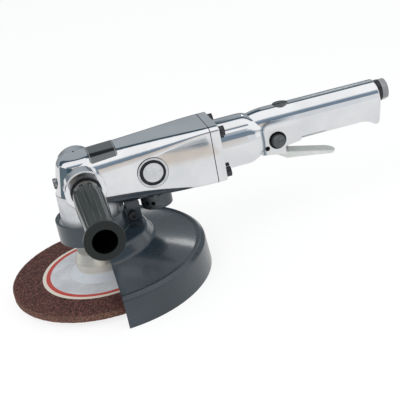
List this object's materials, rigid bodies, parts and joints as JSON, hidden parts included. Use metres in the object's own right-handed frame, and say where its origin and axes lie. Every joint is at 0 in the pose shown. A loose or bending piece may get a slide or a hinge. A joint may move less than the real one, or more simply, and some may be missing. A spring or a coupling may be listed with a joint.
{
  "type": "pneumatic angle grinder",
  "caption": "Lever-throttle pneumatic angle grinder with a depressed-centre wheel, half guard, fluted side handle, vane motor and bevel gears.",
  "frame": {"origin": "on the spindle axis, in the plane of the wheel's grinding face", "axes": "+Z along the spindle towards the gear head, +X along the motor towards the air inlet, side handle towards -Y"},
  "size_m": [0.3968, 0.2529, 0.1324],
  "materials": {
    "polished_aluminium": "mirror polished",
    "cast_aluminium": "fine cast, matte",
    "machined_steel": "machined",
    "flange_metal": "turned, satin",
    "lever_steel": "satin",
    "dark_steel": "black oxide",
    "guard_paint": "gloss paint",
    "grip_plastic": "glossy moulded",
    "abrasive": "coarse bonded grit",
    "wheel_paper": "printed paper",
    "plate_metal": "bare satin plate",
    "bronze": "sintered",
    "gasket": "matte",
    "vane_resin": "laminate"
  },
  "bodies": {
    "housing": {"gear_case": "polished_aluminium", "bearing_cap": "cast_aluminium", "throttle_handle": "polished_aluminium", "flange_gasket": "gasket", "flange_screws": "dark_steel", "cylinder_liner": "machined_steel", "front_end_plate": "cast_aluminium", "rear_end_plate": "cast_aluminium", "front_bearing_outer_ring": "machined_steel", "rear_bearing_outer_ring": "machined_steel", "lower_bearing_outer_ring": "machined_steel", "lower_bearing_balls": "machined_steel", "upper_spindle_bush": "bronze", "bearing_snap_ring": "machined_steel", "spindle_seal": "gasket", "cap_gasket": "gasket", "side_handle_grip": "grip_plastic", "side_handle_stud": "machined_steel", "side_handle_collar": "dark_steel", "grease_plug": "machined_steel", "name_plate": "plate_metal", "round_badge": "plate_metal", "valve_cap": "dark_steel", "inlet_collar": "dark_steel", "inlet_bushing": "machined_steel", "inlet_strainer": "bronze", "lever_pin": "machined_steel", "valve_spring": "machined_steel", "deflector_screw": "dark_steel"},
    "spindle": {"spindle": "machined_steel", "bevel_gear": "machined_steel", "gear_spacer": "machined_steel", "lower_bearing_inner_ring": "machined_steel", "backing_flange": "flange_metal", "grinding_wheel": "abrasive", "wheel_label": "wheel_paper", "wheel_nut": "flange_metal"},
    "rotor": {"rotor": "machined_steel", "rotor_vanes": "vane_resin", "bevel_pinion": "machined_steel", "front_bearing_inner_ring": "machined_steel", "rear_bearing_inner_ring": "machined_steel"},
    "guard": {"wheel_guard": "guard_paint", "clamp_screw": "dark_steel", "clamp_nut": "dark_steel"},
    "lever": {"throttle_lever": "lever_steel"},
    "valve": {"throttle_valve": "machined_steel"},
    "regulator": {"regulator_knob": "dark_steel"},
    "deflector": {"exhaust_deflector": "dark_steel"}
  },
  "joints": [
    {"name": "spindle_spin", "type": "hinge", "parent": "housing", "child": "spindle", "pos_m": [0, 0, 0.0984], "axis": [0, 0, 1], "continuous": true},
    {"name": "rotor_spin", "type": "hinge", "parent": "housing", "child": "rotor", "pos_m": [0.075, 0, 0.0984], "axis": [1, 0, 0], "continuous": true},
    {"name": "guard_swing", "type": "hinge", "parent": "housing", "child": "guard", "pos_m": [0, 0, 0.056], "axis": [0, 0, 1], "range_deg": [-45, 45]},
    {"name": "throttle_press", "type": "hinge", "parent": "housing", "child": "lever", "pos_m": [0.177, 0, 0.088], "axis": [0, -1, 0], "range_deg": [0, 12], "stiffness_Nm_per_rad": 0.8, "springref_deg": -5.73},
    {"name": "valve_lift", "type": "slide", "parent": "housing", "child": "valve", "axis": [0, 0, 1], "range_m": [0, 0.0054], "deforming": ["valve_spring"]},
    {"name": "regulator_turn", "type": "hinge", "parent": "housing", "child": "regulator", "pos_m": [0.188, 0, 0.094], "axis": [0, -1, 0], "range_deg": [-45, 45]},
    {"name": "deflector_swivel", "type": "hinge", "parent": "housing", "child": "deflector", "pos_m": [0.065, 0, 0.06], "axis": [0, 0, 1], "range_deg": [-90, 90]}
  ],
  "couplings": [
    {"joint": "rotor_spin", "follows": "spindle_spin", "ratio": 2.0833},
    {"joint": "valve_lift", "follows": "throttle_press", "m_per_rad": 0.0248}
  ]
}
